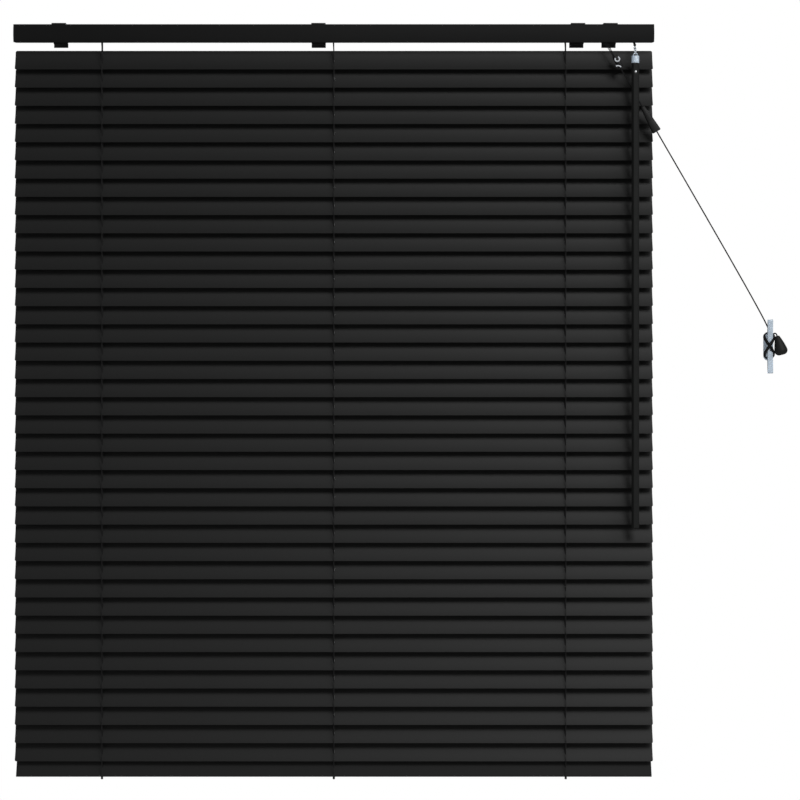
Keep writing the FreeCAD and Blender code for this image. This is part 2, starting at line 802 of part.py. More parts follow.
headrail()
headrail_end_caps()
mounting_brackets()
tilt_rod()
tilt_drums()
drum_cradles()
tilter_housing()
tilter_worm()
tilter_gear()
wand_connector()
wand()
cord_lock()
SLATS = [f"slat_{number:02d}" for number in range(1, int(dim("slat_count")) + 1)]
for number in range(1, len(SLATS) + 1):
    slat(number)
ladder_strings("ladder_front_strings", -1, -34.0, -867.1)
ladder_strings("ladder_back_strings", 1, -11.5, -846.6)
bottom_rail()
bottom_rail_caps()
equalizer()
pull_cord()
cleat()
cleat_winding()
tassel()
doc.recompute()

NODES = SLATS + [
    "headrail",
    "headrail_end_caps",
    "mounting_brackets",
    "tilt_rod",
    "tilt_drums",
    "drum_cradles",
    "tilter_housing",
    "tilter_worm",
    "tilter_gear",
    "wand_connector",
    "wand",
    "cord_lock",
    "ladder_front_strings",
    "ladder_back_strings",
    "bottom_rail",
    "bottom_rail_caps",
    "equalizer",
    "pull_cord",
    "cleat",
    "cleat_winding",
    "tassel",
]

for thing in doc.Objects:
    if "Invalid" in thing.State or "Error" in thing.State:
        raise RuntimeError(f"{thing.Label} did not build: {thing.State}")

os.makedirs("parts", exist_ok=True)
for node in NODES:
    shape = doc.getObjectsByLabel(node)[0].Shape
    if shape.isNull() or not shape.isValid() or not shape.Solids:
        raise RuntimeError(f"{node} is not a valid solid")
    shape.exportStep(f"parts/{node}.step")
print(len(NODES), "sub-parts written")
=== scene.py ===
"""Looks of a black 25 mm venetian blind, closed, with its wand, pull cord and cord cleat.

Metres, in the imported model's frame: X to the right, the wall at Y = 0, the room at negative Y, Z up.
"""

import json
import math
import random

import bmesh
import bpy
from mathutils import Matrix, Vector


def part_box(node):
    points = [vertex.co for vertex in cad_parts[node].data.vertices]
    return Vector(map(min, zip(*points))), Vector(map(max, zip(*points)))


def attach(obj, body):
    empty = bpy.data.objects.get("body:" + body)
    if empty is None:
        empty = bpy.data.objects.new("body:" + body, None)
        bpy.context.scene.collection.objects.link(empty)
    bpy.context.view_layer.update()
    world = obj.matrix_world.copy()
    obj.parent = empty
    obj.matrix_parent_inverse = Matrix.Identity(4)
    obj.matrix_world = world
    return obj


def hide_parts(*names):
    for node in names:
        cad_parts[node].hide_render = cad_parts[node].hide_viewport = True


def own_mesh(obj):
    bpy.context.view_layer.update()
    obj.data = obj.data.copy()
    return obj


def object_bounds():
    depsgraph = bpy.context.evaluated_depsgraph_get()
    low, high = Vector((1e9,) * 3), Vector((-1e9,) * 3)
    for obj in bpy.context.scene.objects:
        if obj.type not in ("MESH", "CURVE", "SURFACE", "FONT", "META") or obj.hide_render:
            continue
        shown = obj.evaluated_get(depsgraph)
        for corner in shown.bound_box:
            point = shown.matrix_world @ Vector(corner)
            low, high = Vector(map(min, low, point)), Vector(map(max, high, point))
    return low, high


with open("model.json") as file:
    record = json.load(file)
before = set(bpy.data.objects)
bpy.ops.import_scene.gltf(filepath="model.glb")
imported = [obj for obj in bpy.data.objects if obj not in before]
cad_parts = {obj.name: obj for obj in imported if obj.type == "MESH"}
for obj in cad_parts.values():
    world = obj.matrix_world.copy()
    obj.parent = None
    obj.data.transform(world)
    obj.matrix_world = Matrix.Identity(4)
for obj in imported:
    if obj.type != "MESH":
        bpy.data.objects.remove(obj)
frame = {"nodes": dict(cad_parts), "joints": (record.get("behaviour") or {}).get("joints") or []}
CAD_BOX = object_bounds()
MM = 0.001
TAU = 2 * math.pi
random.seed(7)


def mm(x, y, z):
    """A point given in millimetres."""
    return Vector((x, y, z)) * MM


# ------------------------------------------------------------------ places taken from the frame

SLAT_NODES = sorted(name for name in frame["nodes"] if name.startswith("slat_"))
JOINTS = {joint["name"]: joint for joint in frame["joints"]}


def box_mm(node):
    """Low and high corners of a CAD node, in millimetres."""
    low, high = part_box(node)
    return low / MM, high / MM


RAIL_FLOOR = box_mm("headrail")[0].z
SLAT_LOW, SLAT_HIGH = box_mm("slat_01")
SLAT_LENGTH = SLAT_HIGH.x - SLAT_LOW.x
SLAT_WIDTH = 25.0
SLAT_CROWN = 65.0
SLAT_THICK = 0.25
CLOSED = math.radians(67.0)
LINE_Y = JOINTS["slat_01_tilt"]["pos_m"][1] / MM
FIRST_Z = JOINTS["slat_01_tilt"]["pos_m"][2] / MM
BOTTOM_Z = JOINTS["bottom_rail_tilt"]["pos_m"][2] / MM
LADDERS = [-272.0, 0.0, 272.0]
FRONT_STRING_Y = (box_mm("ladder_front_strings")[0].y + box_mm("ladder_front_strings")[1].y) / 2
BACK_STRING_Y = (box_mm("ladder_back_strings")[0].y + box_mm("ladder_back_strings")[1].y) / 2
EDGE_Z = SLAT_WIDTH / 2 * math.sin(CLOSED)
WAND_LOW, WAND_HIGH = box_mm("wand")
WAND_X = (WAND_LOW.x + WAND_HIGH.x) / 2
WAND_Y = (WAND_LOW.y + WAND_HIGH.y) / 2
CLEAT_LOW, CLEAT_HIGH = box_mm("cleat")
CLEAT_X = (CLEAT_LOW.x + CLEAT_HIGH.x) / 2
CLEAT_Z = (CLEAT_LOW.z + CLEAT_HIGH.z) / 2
STEM_BALL = Vector(JOINTS["wand_swing"]["pos_m"]) / MM
TASSEL_TOP = Vector(JOINTS["tassel_swing"]["pos_m"]) / MM

# ------------------------------------------------------------------ camera, light and stage

CAMERA_PLACE = (28.9, -2952.0, -428.9)
CAMERA_LENS = 112.5
CAMERA_SHIFT = 0.0519

# Each light's name, place and width in metres, and power in watts.
LIGHTS = (
    ("key", (1.02, -2.0, 1.18), 1.1, 34.0),
    ("side", (1.9, -1.5, 0.7), 1.1, 12.0),
    ("fill", (-2.2, -2.2, -0.2), 1.6, 6.0),
    ("back", (0.9, 2.6, 0.9), 1.6, 20.0),
)
LIGHTS_AIM = (0.0, 0.0, -0.43)
AMBIENT = 0.15
FLOOR_DROP = 0.42
FLOOR_HALF_LENGTH = 1.6
FLOOR_FRONT = -2.3
FLOOR_BACK = 1.0


def camera():
    """Level camera in front of the blind, its frame shifted sideways to take in the cleat."""
    data = bpy.data.cameras.new("camera")
    data.lens = CAMERA_LENS
    data.sensor_width = 36.0
    data.shift_x = CAMERA_SHIFT
    data.clip_end = 50.0
    cam = bpy.data.objects.new("camera", data)
    bpy.context.scene.collection.objects.link(cam)
    cam.location = mm(*CAMERA_PLACE)
    cam.rotation_euler = (math.pi / 2, 0, 0)
    bpy.context.scene.camera = cam


def area_light(name, place, size, power):
    """Round soft light that faces the middle of the blind."""
    data = bpy.data.lights.new(name, "AREA")
    data.shape = "DISK"
    data.size = size
    data.energy = power
    lamp = bpy.data.objects.new(name, data)
    bpy.context.scene.collection.objects.link(lamp)
    lamp.location = place
    lamp.rotation_euler = (Vector(LIGHTS_AIM) - Vector(place)).to_track_quat("-Z", "Y").to_euler()
    lamp.visible_camera = False
    lamp.visible_transmission = False
    return lamp


def studio():
    """White surroundings that light the object gently, four soft lights, and a pale floor."""
    world = bpy.data.worlds.new("studio")
    bpy.context.scene.world = world
    world.use_nodes = True
    nodes, links = world.node_tree.nodes, world.node_tree.links
    nodes.clear()
    seen = nodes.new("ShaderNodeBackground")
    seen.inputs["Strength"].default_value = 1.0
    seen.inputs["Color"].default_value = (1, 1, 1, 1)
    soft = nodes.new("ShaderNodeBackground")
    soft.inputs["Strength"].default_value = AMBIENT
    soft.inputs["Color"].default_value = (1, 1, 1, 1)
    path = nodes.new("ShaderNodeLightPath")
    either = nodes.new("ShaderNodeMath")
    either.operation = "MAXIMUM"
    mix = nodes.new("ShaderNodeMixShader")
    out = nodes.new("ShaderNodeOutputWorld")
    links.new(path.outputs["Is Camera Ray"], either.inputs[0])
    links.new(path.outputs["Is Transmission Ray"], either.inputs[1])
    links.new(either.outputs[0], mix.inputs["Fac"])
    links.new(soft.outputs[0], mix.inputs[1])
    links.new(seen.outputs[0], mix.inputs[2])
    links.new(mix.outputs[0], out.inputs[0])
    for name, place, size, power in LIGHTS:
        area_light(name, place, size, power)
    bpy.context.scene.view_settings.view_transform = "Standard"
    mesh = bpy.data.meshes.new("floor")
    low = CAD_BOX[0][2] - FLOOR_DROP
    side = FLOOR_HALF_LENGTH
    ends = ((-side, FLOOR_FRONT), (side, FLOOR_FRONT), (side, FLOOR_BACK), (-side, FLOOR_BACK))
    corners = [(x, y, low) for x, y in ends]
    mesh.from_pydata(corners, [], [(0, 1, 2, 3)])
    floor = bpy.data.objects.new("floor", mesh)
    bpy.context.scene.collection.objects.link(floor)
    mesh.materials.append(shader("floor_paint", (0.9, 0.9, 0.89), 0.7)[0])


# ------------------------------------------------------------------ materials


def shader(name, color, rough, metallic=0.0, specular=0.5):
    """New material and its shader node."""
    material = bpy.data.materials.new(name)
    material.use_nodes = True
    bsdf = material.node_tree.nodes["Principled BSDF"]
    bsdf.inputs["Base Color"].default_value = (*color, 1)
    bsdf.inputs["Roughness"].default_value = rough
    bsdf.inputs["Metallic"].default_value = metallic
    bsdf.inputs["Specular IOR Level"].default_value = specular
    material.diffuse_color = (*color, 1)
    return material, bsdf


def noise(material, scale, detail=3.0, stretch=(1, 1, 1)):
    """Noise in object coordinates, stretched along the axes."""
    nodes, links = material.node_tree.nodes, material.node_tree.links
    place = nodes.new("ShaderNodeTexCoord")
    mapping = nodes.new("ShaderNodeMapping")
    mapping.inputs["Scale"].default_value = stretch
    texture = nodes.new("ShaderNodeTexNoise")
    texture.inputs["Scale"].default_value = scale
    texture.inputs["Detail"].default_value = detail
    links.new(place.outputs["Object"], mapping.inputs["Vector"])
    links.new(mapping.outputs["Vector"], texture.inputs["Vector"])
    return texture.outputs["Fac"]


def ramp(material, value, low, high, start=0.3, end=0.7):
    """Colour ramp from low to high. Both are colours."""
    nodes, links = material.node_tree.nodes, material.node_tree.links
    scale = nodes.new("ShaderNodeValToRGB")
    scale.color_ramp.elements[0].position = start
    scale.color_ramp.elements[0].color = (*low, 1)
    scale.color_ramp.elements[1].position = end
    scale.color_ramp.elements[1].color = (*high, 1)
    links.new(value, scale.inputs["Fac"])
    return scale.outputs["Color"]


def spread(material, value, low, high):
    """Maps a value from 0-1 to low-high."""
    nodes, links = material.node_tree.nodes, material.node_tree.links
    node = nodes.new("ShaderNodeMapRange")
    node.inputs["To Min"].default_value = low
    node.inputs["To Max"].default_value = high
    links.new(value, node.inputs["Value"])
    return node.outputs["Result"]


def bumped(material, bsdf, value, strength, distance):
    """Fine relief from a value. Its depth is in metres."""
    nodes, links = material.node_tree.nodes, material.node_tree.links
    node = nodes.new("ShaderNodeBump")
    node.inputs["Strength"].default_value = strength
    node.inputs["Distance"].default_value = distance
    links.new(value, node.inputs["Height"])
    links.new(node.outputs["Normal"], bsdf.inputs["Normal"])


def painted(name, color, rough, bump, specular, grain=1800.0):
    """Stoved paint: faint cloudiness, uneven gloss and a fine orange-peel surface."""
    material, bsdf = shader(name, color, rough, specular=specular)
    links = material.node_tree.links
    clouds = noise(material, 9.0, stretch=(0.25, 1, 1))
    lighter = tuple(min(1.0, c * 1.12) for c in color)
    darker = tuple(c * 0.9 for c in color)
    links.new(ramp(material, clouds, darker, lighter), bsdf.inputs["Base Color"])
    fine = noise(material, grain, detail=2.0)
    links.new(spread(material, fine, rough - 0.05, rough + 0.06), bsdf.inputs["Roughness"])
    bumped(material, bsdf, fine, bump, 0.00004)
    return material


def moulded(name, color, rough, specular=0.5):
    """Moulded plastic with a fine spark-eroded grain."""
    material, bsdf = shader(name, color, rough, specular=specular)
    links = material.node_tree.links
    grain = noise(material, 2600.0, detail=4.0)
    links.new(spread(material, grain, rough - 0.06, rough + 0.08), bsdf.inputs["Roughness"])
    cloud = noise(material, 60.0)
    links.new(ramp(material, cloud, tuple(c * 0.88 for c in color), color), bsdf.inputs["Base Color"])
    bumped(material, bsdf, grain, 0.2, 0.00005)
    return material


def clear(name, color, see_through):
    """Milky clear plastic, with flow marks from moulding."""
    material, bsdf = shader(name, color, 0.2, specular=0.5)
    bsdf.inputs["Transmission Weight"].default_value = see_through
    bsdf.inputs["IOR"].default_value = 1.46
    links = material.node_tree.links
    flow = noise(material, 90.0, stretch=(1, 1, 0.3))
    links.new(ramp(material, flow, tuple(c * 0.95 for c in color), color), bsdf.inputs["Base Color"])
    links.new(spread(material, flow, 0.14, 0.26), bsdf.inputs["Roughness"])
    bumped(material, bsdf, flow, 0.08, 0.0002)
    return material


def metal(name, color, rough, brushed):
    """Plated metal, brushed along one axis."""
    material, bsdf = shader(name, color, rough, metallic=1.0)
    links = material.node_tree.links
    lines = noise(material, 700.0, detail=4.0, stretch=brushed)
    links.new(spread(material, lines, rough - 0.08, rough + 0.12), bsdf.inputs["Roughness"])
    links.new(ramp(material, lines, tuple(c * 0.8 for c in color), color), bsdf.inputs["Base Color"])
    bumped(material, bsdf, lines, 0.12, 0.00004)
    return material


def woven(name, color, pitch):
    """Braided cord: two crossing sets of diagonal strands, with a little fuzz."""
    material, bsdf = shader(name, color, 0.85, specular=0.25)
    bsdf.inputs["Sheen Weight"].default_value = 0.05
    nodes, links = material.node_tree.nodes, material.node_tree.links
    place = nodes.new("ShaderNodeTexCoord")
    strands = []
    for lean in (1, -1):
        mapping = nodes.new("ShaderNodeMapping")
        mapping.inputs["Rotation"].default_value = (0, lean * 0.7, lean * 0.7)
        wave = nodes.new("ShaderNodeTexWave")
        wave.bands_direction = "Z"
        wave.inputs["Scale"].default_value = 1.0 / (pitch * TAU)
        wave.inputs["Distortion"].default_value = 0.6
        links.new(place.outputs["Object"], mapping.inputs["Vector"])
        links.new(mapping.outputs["Vector"], wave.inputs["Vector"])
        strands.append(wave.outputs["Fac"])
    braid = nodes.new("ShaderNodeMath")
    braid.operation = "MAXIMUM"
    links.new(strands[0], braid.inputs[0])
    links.new(strands[1], braid.inputs[1])
    darker = tuple(c * 0.55 for c in color)
    links.new(ramp(material, braid.outputs[0], darker, color, 0.2, 0.9), bsdf.inputs["Base Color"])
    bumped(material, bsdf, braid.outputs[0], 0.5, 0.00012)
    return material


SLAT_PAINT = painted("slat_paint", (0.009, 0.0092, 0.0091), 0.55, bump=0.10, specular=0.28)
RAIL_PAINT = painted("rail_paint", (0.0128, 0.0129, 0.013), 0.58, bump=0.12, specular=0.02)
BAR_PAINT = painted("bar_paint", (0.0212, 0.0214, 0.0214), 0.5, bump=0.12, specular=0.04)
STEEL_PAINT = painted("steel_paint", (0.006, 0.006, 0.0062), 0.45, bump=0.25, specular=0.35, grain=1300.0)
BLACK_PLASTIC = moulded("black_plastic_grain", (0.012, 0.0125, 0.0122), 0.58, specular=0.2)
WAND_PLASTIC = moulded("wand_plastic_grain", (0.0152, 0.0158, 0.0155), 0.62, specular=0.1)
GREY_PLASTIC = moulded("grey_plastic_grain", (0.3, 0.31, 0.32), 0.45)
STEEL = metal("zinc_plate", (0.62, 0.63, 0.65), 0.32, brushed=(0.05, 1, 1))
CLEAR = clear("clear_moulding", (0.68, 0.79, 0.9), 0.25)
CLEAR_LINK = clear("clear_link_moulding", (0.7, 0.74, 0.78), 0.75)
CLEAR_BAR = clear("clear_cleat_moulding", (0.67, 0.77, 0.87), 0.27)
CORD = woven("black_braid", (0.006, 0.006, 0.0065), 0.0009)
STRING = woven("black_string", (0.012, 0.012, 0.0125), 0.0007)
# The lift cords in the slats are darker than the other cords, so that the slots read as dark spots: painted
# shade in the slots.
LIFT = woven("lift_braid_darkened_for_slot_shade", (0.003, 0.003, 0.0032), 0.0011)
DARK_PLASTIC = moulded("dark_plastic_grain", (0.006, 0.0062, 0.0061), 0.55, specular=0.25)
# Pale plastic for the painted highlights on the cord stop's bead.
PAINTED_GLINT_PALE = moulded("painted_glint_pale_grain", (0.62, 0.65, 0.69), 0.3)

# ------------------------------------------------------------------ mesh helpers

BEVEL_ANGLE = 32.0


def finished(obj, body, material, replaces=()):
    """Gives a piece its material and its body, and hides the CAD nodes it stands for."""
    obj.data.materials.clear()
    obj.data.materials.append(material)
    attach(obj, body)
    if replaces:
        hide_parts(*replaces)
    return obj


def from_bmesh(name, bm):
    """New smooth-shaded object from a bmesh, which it frees."""
    mesh = bpy.data.meshes.new(name)
    bmesh.ops.recalc_face_normals(bm, faces=bm.faces[:])
    bm.to_mesh(mesh)
    bm.free()
    mesh.shade_smooth()
    obj = bpy.data.objects.new(name, mesh)
    bpy.context.scene.collection.objects.link(obj)
    return obj


def applied(obj):
    """Replaces the object's mesh with its modifiers' result."""
    graph = bpy.context.evaluated_depsgraph_get()
    mesh = bpy.data.meshes.new_from_object(obj.evaluated_get(graph))
    obj.modifiers.clear()
    obj.data = mesh
    return obj


def by_angle(obj, degrees):
    """Shades smooth except over edges that turn by more than an angle."""
    obj.data.shade_smooth()
    limit = math.radians(degrees)
    bm = bmesh.new()
    bm.from_mesh(obj.data)
    for edge in bm.edges:
        edge.smooth = len(edge.link_faces) == 2 and edge.calc_face_angle(math.pi) < limit
    bm.to_mesh(obj.data)
    bm.free()
    return obj


def bevelled(obj, width):
    """Rounds the object's sharp edges, by a width in millimetres."""
    modifier = obj.modifiers.new("bevel", "BEVEL")
    modifier.width = width * MM
    modifier.segments = 2
    modifier.limit_method = "ANGLE"
    modifier.angle_limit = math.radians(BEVEL_ANGLE)
    modifier.use_clamp_overlap = True
    modifier.harden_normals = False
    applied(obj)
    return by_angle(obj, 50)


def softened(node, body, material, width):
    """A copy of a CAD node with its sharp edges broken, standing for that node."""
    mesh = frame["nodes"][node].data.copy()
    obj = bpy.data.objects.new(node + "_finished", mesh)
    bpy.context.scene.collection.objects.link(obj)
    bm = bmesh.new()
    bm.from_mesh(mesh)
    bmesh.ops.remove_doubles(bm, verts=bm.verts[:], dist=0.000002)
    bmesh.ops.dissolve_limit(bm, angle_limit=0.002, verts=bm.verts[:], edges=bm.edges[:])
    bm.to_mesh(mesh)
    bm.free()
    bevelled(obj, width)
    return finished(obj, body, material, (node,))


def prism(name, outline, start, end):
    """Outline in millimetres of (Y, Z) points, extruded along X from start to end."""
    bm = bmesh.new()
    rings = [[bm.verts.new(mm(x, y, z)) for y, z in outline] for x in (start, end)]
    bm.faces.new(rings[0])
    bm.faces.new(rings[1][::-1])
    count = len(outline)
    for k in range(count):
        after = (k + 1) % count
        bm.faces.new((rings[0][k], rings[0][after], rings[1][after], rings[1][k]))
    return from_bmesh(name, bm)


def arc(start, middle, end, steps):
    """Points of the arc through three points, without the last."""
    (ax, ay), (bx, by), (cx, cy) = start, middle, end
    d = 2 * (ax * (by - cy) + bx * (cy - ay) + cx * (ay - by))
    a2, b2, c2 = ax * ax + ay * ay, bx * bx + by * by, cx * cx + cy * cy
    ux = (a2 * (by - cy) + b2 * (cy - ay) + c2 * (ay - by)) / d
    uy = (a2 * (cx - bx) + b2 * (ax - cx) + c2 * (bx - ax)) / d
    radius = math.hypot(ax - ux, ay - uy)
    first = math.atan2(ay - uy, ax - ux)
    turn = (math.atan2(cy - uy, cx - ux) - first) % TAU
    half = (math.atan2(by - uy, bx - ux) - first) % TAU
    if half > turn:
        turn -= TAU
    angles = [first + turn * k / steps for k in range(steps)]
    return [(ux + radius * math.cos(a), uy + radius * math.sin(a)) for a in angles]


def revolved(name, profile, centre, axis=(0, 0, 1), steps=48):
    """Profile of (radius, height) points in millimetres, turned about an axis through the centre."""
    bm = bmesh.new()
    turn = Vector((0, 0, 1)).rotation_difference(Vector(axis)).to_matrix()
    rings = []
    for radius, height in profile:
        if radius < 1e-6:
            rings.append([bm.verts.new((centre + turn @ Vector((0, 0, height))) * MM)])
            continue
        points = [Vector((radius * math.cos(TAU * k / steps), radius * math.sin(TAU * k / steps), height))
                  for k in range(steps)]
        rings.append([bm.verts.new((centre + turn @ p) * MM) for p in points])
    for one, two in zip(rings, rings[1:]):
        for k in range(steps):
            after = (k + 1) % steps
            corners = [one[k % len(one)], one[after % len(one)], two[after % len(two)], two[k % len(two)]]
            unique = list(dict.fromkeys(corners))
            if len(unique) > 2:
                bm.faces.new(unique)
    return by_angle(from_bmesh(name, bm), 40)


def rods(name, routes, radius, steps=10):
    """Round bars along lists of points in millimetres, as one mesh."""
    bm = bmesh.new()
    for route in routes:
        points = [Vector(p) for p in route]
        rings = []
        side = None
        for k, point in enumerate(points):
            ahead = points[min(k + 1, len(points) - 1)] - points[max(k - 1, 0)]
            ahead.normalize()
            if side is None:
                side = ahead.orthogonal().normalized()
            side = (side - ahead * side.dot(ahead)).normalized()
            other = ahead.cross(side)
            rings.append([
                bm.verts.new((point + (side * math.cos(TAU * j / steps) + other * math.sin(TAU * j / steps))
                              * radius) * MM)
                for j in range(steps)
            ])
        for one, two in zip(rings, rings[1:]):
            for j in range(steps):
                after = (j + 1) % steps
                bm.faces.new((one[j], one[after], two[after], two[j]))
        bm.faces.new(rings[0][::-1])
        bm.faces.new(rings[-1])
    return by_angle(from_bmesh(name, bm), 60)


def nurbs(name, points, diameter, material, body):
    """Cord on a smooth NURBS line through the neighbourhood of its points, in millimetres."""
    curve = bpy.data.curves.new(name, "CURVE")
    curve.dimensions = "3D"
    spline = curve.splines.new("NURBS")
    spline.points.add(len(points) - 1)
    for point, place in zip(spline.points, points):
        point.co = (*(Vector(place) * MM), 1)
    spline.order_u = 3
    spline.use_endpoint_u = True
    spline.resolution_u = 12
    curve.bevel_depth = diameter / 2 * MM
    curve.bevel_resolution = 4
    curve.use_fill_caps = True
    obj = bpy.data.objects.new(name, curve)
    bpy.context.scene.collection.objects.link(obj)
    curve.materials.append(material)
    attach(obj, body)
    return obj


def line_length(obj):
    """Length in metres of a curve object's own line."""
    curve = obj.data.copy()
    curve.bevel_depth = 0
    bare = bpy.data.objects.new("bare_line", curve)
    bpy.context.scene.collection.objects.link(bare)
    bpy.context.view_layer.update()
    mesh = bpy.data.meshes.new_from_object(bare.evaluated_get(bpy.context.evaluated_depsgraph_get()))
    places = [v.co for v in mesh.vertices]
    bpy.data.objects.remove(bare)
    return sum((b - a).length for a, b in zip(places, places[1:]))


camera()
studio()

# ------------------------------------------------------------------ pull cord, equalizer, cleat and tassel

CORD_DIAMETER = 1.6
LIFT_DIAMETER = 0.8
UPPER_ROUTE = [(318.0, -24.6, -9.5), (325.9, -30.2, -24.4), (361.0, -29.6, -86.8)]
LOWER_ROUTE = [(377.4, -32.0, -115.3), (445.0, -21.0, -228.5), (513.2, -10.9, -345.7)]
LIFT_OFFSETS = ((0.0, 0.0), (-2.5, 0.9), (2.5, 0.8))
STOP_CENTRE = Vector((332.0, -30.4, -33.5))
WINDING_TURNS = 3
WINDING_STEPS = 16
WINDING_CENTRE = Vector((CLEAT_X - 1.1, -14.68, CLEAT_Z + 1.2))
WINDING_HALF_WIDTH = 5.8
WINDING_DEPTH = 3.45
WINDING_REACH = 15.3
TURN_BESIDE = 0.85
TURN_OVER = 0.75


def lift_cords():
    """Three thin cords from the lock, drawn together at the cord stop and on to the equalizer."""
    made = []
    for k, (dx, dy) in enumerate(LIFT_OFFSETS):
        points = [Vector(p) for p in UPPER_ROUTE]
        points[0] += Vector((dx, dy, 0))
        points[1] += Vector((-0.35 * dx, -0.2 * dy, 0.4 * k))
        points[2] += Vector((0.25 * dx, 0.3 * dy, 0))
        cord = nurbs(f"lift_cord_{k + 1}", points, LIFT_DIAMETER, CORD, "blind_head")
        made.append((cord, points[0]))
    return made


def winding_points():
    """Figures of eight over the bar and behind its horns, each turn beside and over the last."""
    points = []
    for k in range(WINDING_TURNS * WINDING_STEPS + 1):
        turn = k / WINDING_STEPS
        angle = TAU * turn
        aside = TURN_BESIDE * (turn - WINDING_TURNS / 2)
        points.append((
            WINDING_CENTRE.x - WINDING_HALF_WIDTH * math.sin(2 * angle) + 0.79 * aside,
            WINDING_CENTRE.y + (WINDING_DEPTH + TURN_OVER * turn) * math.cos(2 * angle),
            WINDING_CENTRE.z + (WINDING_REACH + 0.45 * aside) * math.cos(angle)
            + 0.62 * aside * math.sin(angle),
        ))
    return points


def pull_cord():
    """From the equalizer's foot, taut to the cleat, wound on it, and out to the tassel."""
    wound = winding_points()
    out = [
        (CLEAT_X + 3.8, -12.6, CLEAT_Z + 14.4),
        (CLEAT_X + 5.6, -15.6, CLEAT_Z + 15.8),
        (TASSEL_TOP.x - 0.3, TASSEL_TOP.y + 0.4, TASSEL_TOP.z + 1.6),
        tuple(TASSEL_TOP - Vector((0, 0, 1.0))),
    ]
    points = list(LOWER_ROUTE) + wound + out
    cord = nurbs("pull_cord_line", points, CORD_DIAMETER, CORD, "blind_head")
    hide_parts("pull_cord", "cleat_winding")
    return cord


def equalizer():
    """Tapered two-part toggle, flattened front and back, with a parting line and a cord hole in its foot."""
    top = Vector((360.6, -32.0, -86.4))
    foot = Vector(LOWER_ROUTE[0])
    run = foot - top
    half_depth = 3.05
    widening = 0.1
    long = run.length
    profile = [
        (0.0, 0.0), (1.7, 0.0), (2.2, 0.25), (2.5, 0.8), (3.2, 10.0), (3.85, 18.4), (3.7, 18.7), (3.95, 19.1),
        (4.55, 28.0), (4.85, long - 1.2), (4.65, long - 0.4), (4.1, long), (1.2, long), (1.0, long - 1.5),
        (0.0, long - 1.5),
    ]
    shell = revolved("equalizer_shell", profile, top, run.normalized(), steps=40)
    for vertex in shell.data.vertices:
        offset = vertex.co.y / MM - top.y
        vertex.co.y = (top.y + math.copysign(half_depth * math.tanh(abs(offset) / half_depth), offset)) * MM
    middle = (top + foot) / 2 * MM
    across = Vector((run.z, 0, -run.x)).normalized()
    for vertex in shell.data.vertices:
        vertex.co += across * (vertex.co - middle).dot(across) * widening
    return finished(shell, "blind_head", DARK_PLASTIC, ("equalizer",))


def bow(centre, radius, first, turn, steps):
    """Points of an arc that faces the room. Its angles are in degrees."""
    angles = [math.radians(first + turn * k / steps) for k in range(steps + 1)]
    return [centre + Vector((radius * math.cos(a), 0, radius * math.sin(a))) for a in angles]


def cord_stop():
    """Bead that stops the lift cords, with a pale C-shaped ring and a pale curved bar on its front: painted
    highlights that copy the glints on the glossy bead.
    """
    along = (Vector(UPPER_ROUTE[2]) - Vector(UPPER_ROUTE[1])).normalized()
    profile = [(0.9, -8.2), (2.6, -8.0), (3.3, -6.6), (3.4, 0.0), (3.1, 6.4), (2.4, 7.6), (0.9, 7.8)]
    bead = revolved("cord_stop", profile, STOP_CENTRE, along, steps=32)
    finished(bead, "blind_head", DARK_PLASTIC)
    # The pale ring and bar are painted highlights, in the shapes of the glints on the bead.
    glint_ring_centre = STOP_CENTRE + Vector((-1.0, -3.4, 2.5))
    glint_ring = rods("cord_stop_glint_ring", [bow(glint_ring_centre, 2.6, 152, 280, 36)], 0.85, steps=12)
    finished(glint_ring, "blind_head", PAINTED_GLINT_PALE)
    glint_bar_centre = STOP_CENTRE + Vector((-0.2, -3.3, -9.8))
    glint_bar = rods("cord_stop_glint_bar", [bow(glint_bar_centre, 4.6, 40, 80, 12)], 0.85, steps=12)
    finished(glint_bar, "blind_head", PAINTED_GLINT_PALE)
    return [bead, glint_ring, glint_bar]


def tassel():
    """Smooth drop with a hollow foot and the knot inside it."""
    lean = math.radians(14.5)
    axis = Vector((-math.sin(lean), 0, math.cos(lean)))
    side = arc((3.4, -23.0), (6.5, -21.2), (7.7, -17.4), 10) + arc((7.7, -17.4), (5.1, -7.4), (2.4, -0.4), 16)
    hollow = [(2.4, -0.4), (2.1, -0.1), (1.2, 0.0), (1.0, -0.3), (1.0, -12.0), (3.2, -12.0), (3.2, -22.8)]
    body = revolved("tassel_drop", side + hollow + side[:1], TASSEL_TOP, axis, steps=56)
    finished(body, "tassel_pull", BLACK_PLASTIC, ("tassel",))
    knot_profile = [(0.0, -2.4), (1.4, -2.0), (2.1, -0.4), (1.9, 1.2), (0.9, 2.1), (0.0, 2.2)]
    knot = revolved("tassel_knot", knot_profile, TASSEL_TOP + axis * -14.6, axis, steps=20)
    finished(knot, "tassel_pull", CORD)
    return [body, knot]


lifts = lift_cords()
pull = pull_cord()
toggle = equalizer()
stop_pieces = cord_stop()
tassel_pieces = tassel()
for number, (lift, leaves) in enumerate(lifts):
    line_length(lift)
line_length(pull)
softened("cleat", "blind_head", CLEAR_BAR, 0.35)

# ------------------------------------------------------------------ headrail and what it holds


